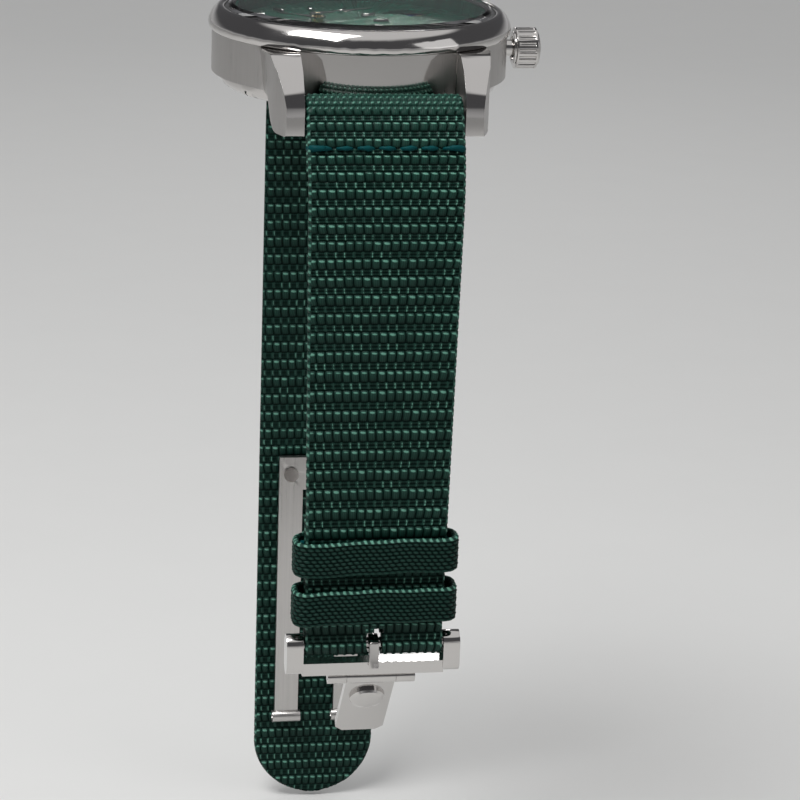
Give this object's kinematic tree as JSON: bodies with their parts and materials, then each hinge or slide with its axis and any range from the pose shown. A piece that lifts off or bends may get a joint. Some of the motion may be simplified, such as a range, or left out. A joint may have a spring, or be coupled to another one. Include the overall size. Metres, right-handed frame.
{
  "type": "moon phase wristwatch",
  "caption": "Steel automatic wristwatch with a green off-centre dial, date and moon phase, on a ribbed green textile strap with an open folding clasp.",
  "frame": {"origin": "centre of the case back's outer face", "axes": "+Z out through the dial, +X towards the crown at 3 o'clock, +Y towards 12 o'clock; the strap halves hang along -Z"},
  "size_m": [0.0443, 0.0581, 0.126],
  "materials": {
    "polished_steel": "mirror polished stainless steel",
    "brushed_steel": "vertical satin brushing",
    "sapphire": "clear, anti-reflective",
    "black_rubber": "matt",
    "green_lacquer": "green sunburst",
    "green_textile": "ribbed woven textile",
    "gilt_brass": "gilt, fine grained",
    "nickel_plate": "striped nickel plate",
    "blued_steel": "blued steel",
    "blue_enamel": "dark blue with pale moons",
    "cream_print": "cream date disc"
  },
  "bodies": {
    "case": {"case_middle": "brushed_steel", "bezel": "polished_steel", "crystal": "sapphire", "crystal_gasket": "black_rubber", "dial_flange": "green_lacquer", "case_back": "polished_steel", "back_crystal": "sapphire", "back_gasket": "black_rubber", "movement_ring": "nickel_plate", "casing_clamps": "polished_steel", "casing_screws": "blued_steel", "crown_tube": "polished_steel", "dial_plate": "green_lacquer", "hour_markers": "polished_steel", "seconds_ring": "polished_steel", "date_frame": "polished_steel", "main_plate": "nickel_plate", "train_bridge": "nickel_plate", "balance_cock": "nickel_plate", "bridge_screws": "blued_steel", "hairspring": "blued_steel", "rotor_bearing": "polished_steel", "spring_bar_short": "polished_steel", "spring_bar_long": "polished_steel"},
    "clutch": {"sliding_pinion": "polished_steel"},
    "crown": {"crown": "polished_steel", "crown_gasket": "black_rubber", "winding_stem": "polished_steel"},
    "moon_pusher": {"moon_corrector": "polished_steel"},
    "date_pusher": {"date_corrector": "polished_steel"},
    "units_disc": {"date_units_disc": "cream_print"},
    "tens_disc": {"date_tens_disc": "cream_print"},
    "moon": {"moon_disc": "blue_enamel"},
    "minutes": {"minute_hand": "polished_steel", "centre_wheel": "gilt_brass"},
    "hours": {"hour_hand": "polished_steel", "hour_wheel": "gilt_brass"},
    "seconds": {"seconds_hand": "polished_steel", "fourth_wheel": "gilt_brass"},
    "minute_train": {"minute_wheel": "gilt_brass"},
    "third": {"third_wheel": "gilt_brass"},
    "escapement": {"escape_wheel": "polished_steel"},
    "pallets": {"pallet_fork": "polished_steel"},
    "balance": {"balance_wheel": "gilt_brass"},
    "mainspring_barrel": {"barrel": "gilt_brass"},
    "winding_rotor": {"rotor": "nickel_plate"},
    "short_half": {"strap_short": "green_textile", "fixed_keeper": "green_textile"},
    "long_half": {"strap_long": "green_textile", "base_frame": "brushed_steel", "frame_rivets": "polished_steel"},
    "keeper": {"free_keeper": "green_textile"},
    "buckle": {"buckle_frame": "polished_steel", "buckle_bar": "polished_steel", "hinge_pin": "polished_steel"},
    "tongue": {"buckle_tongue": "polished_steel"},
    "lever": {"lever_plate": "polished_steel", "lock_stud": "polished_steel"}
  },
  "joints": [
    {"name": "crown_turn", "type": "hinge", "parent": "case", "child": "clutch", "pos_m": [0.0115, 0, 0.005], "axis": [1, 0, 0], "continuous": true},
    {"name": "crown_pull", "type": "slide", "parent": "clutch", "child": "crown", "axis": [1, 0, 0], "range_m": [0, 0.0012]},
    {"name": "moon_corrector_press", "type": "slide", "parent": "case", "child": "moon_pusher", "axis": [-0.788, -0.6157, 0], "range_m": [0, 0.0005], "stiffness_N_per_m": 200},
    {"name": "date_corrector_press", "type": "slide", "parent": "case", "child": "date_pusher", "axis": [0.788, -0.6157, 0], "range_m": [0, 0.0005], "stiffness_N_per_m": 200},
    {"name": "date_units_turn", "type": "hinge", "parent": "case", "child": "units_disc", "pos_m": [0.0078, -0.0067, 0.0059], "axis": [0, 0, 1], "continuous": true},
    {"name": "date_tens_turn", "type": "hinge", "parent": "case", "child": "tens_disc", "pos_m": [0.0034, -0.0074, 0.0062], "axis": [0, 0, 1], "continuous": true},
    {"name": "moon_turn", "type": "hinge", "parent": "case", "child": "moon", "pos_m": [0.0082, 0.0046, 0.0064], "axis": [0, 0, 1], "continuous": true},
    {"name": "seconds_turn", "type": "hinge", "parent": "case", "child": "seconds", "pos_m": [-0.0051, -0.0073, 0.005], "axis": [0, 0, 1], "continuous": true},
    {"name": "minute_turn", "type": "hinge", "parent": "case", "child": "minutes", "pos_m": [-0.0056, 0.0003, 0.005], "axis": [0, 0, 1], "continuous": true},
    {"name": "hour_turn", "type": "hinge", "parent": "case", "child": "hours", "pos_m": [-0.0056, 0.0003, 0.0063], "axis": [0, 0, 1], "continuous": true},
    {"name": "minute_wheel_turn", "type": "hinge", "parent": "case", "child": "minute_train", "pos_m": [-0.00842, 0.00133, 0.006], "axis": [0, 0, 1], "continuous": true},
    {"name": "third_wheel_turn", "type": "hinge", "parent": "case", "child": "third", "pos_m": [-0.00251, -0.00376, 0.0045], "axis": [0, 0, 1], "continuous": true},
    {"name": "escape_wheel_turn", "type": "hinge", "parent": "case", "child": "escapement", "pos_m": [-0.00148, -0.00862, 0.0045], "axis": [0, 0, 1], "continuous": true},
    {"name": "barrel_turn", "type": "hinge", "parent": "case", "child": "mainspring_barrel", "pos_m": [-0.00383, 0.00692, 0.0042], "axis": [0, 0, 1], "continuous": true},
    {"name": "pallet_swing", "type": "hinge", "parent": "case", "child": "pallets", "pos_m": [0.00114, -0.01045, 0.0045], "axis": [0, 0, 1], "range_deg": [-6, 6]},
    {"name": "balance_swing", "type": "hinge", "parent": "case", "child": "balance", "pos_m": [0.00498, -0.00978, 0.004], "axis": [0, 0, 1], "range_deg": [-270, 270]},
    {"name": "rotor_turn", "type": "hinge", "parent": "case", "child": "winding_rotor", "pos_m": [0, 0, 0.0023], "axis": [0, 0, 1], "continuous": true},
    {"name": "short_half_swing", "type": "hinge", "parent": "case", "child": "short_half", "pos_m": [0, -0.022, 0.001], "axis": [1, 0, 0], "range_deg": [-60, 8]},
    {"name": "long_half_swing", "type": "hinge", "parent": "case", "child": "long_half", "pos_m": [0, 0.022, 0.001], "axis": [1, 0, 0], "range_deg": [-8, 60]},
    {"name": "free_keeper_slide", "type": "slide", "parent": "short_half", "child": "keeper", "axis": [0, 0, 1], "range_m": [-0.0019, 0.012]},
    {"name": "buckle_swing", "type": "hinge", "parent": "short_half", "child": "buckle", "pos_m": [0, -0.02677, -0.0689], "axis": [1, 0, 0], "range_deg": [-40, 10]},
    {"name": "tongue_swing", "type": "hinge", "parent": "buckle", "child": "tongue", "pos_m": [0, -0.02677, -0.0689], "axis": [1, 0, 0], "range_deg": [-35, 0]},
    {"name": "lever_fold", "type": "hinge", "parent": "buckle", "child": "lever", "pos_m": [0, -0.02617, -0.07385], "axis": [1, 0, 0], "range_deg": [-60, 50]}
  ],
  "couplings": [
    {"joint": "minute_turn", "follows": "seconds_turn", "ratio": 0.016667},
    {"joint": "hour_turn", "follows": "seconds_turn", "ratio": 0.0013889},
    {"joint": "minute_wheel_turn", "follows": "seconds_turn", "ratio": -0.0055556},
    {"joint": "third_wheel_turn", "follows": "seconds_turn", "ratio": -0.125},
    {"joint": "escape_wheel_turn", "follows": "seconds_turn", "ratio": -10},
    {"joint": "barrel_turn", "follows": "seconds_turn", "ratio": -0.002381}
  ]
}
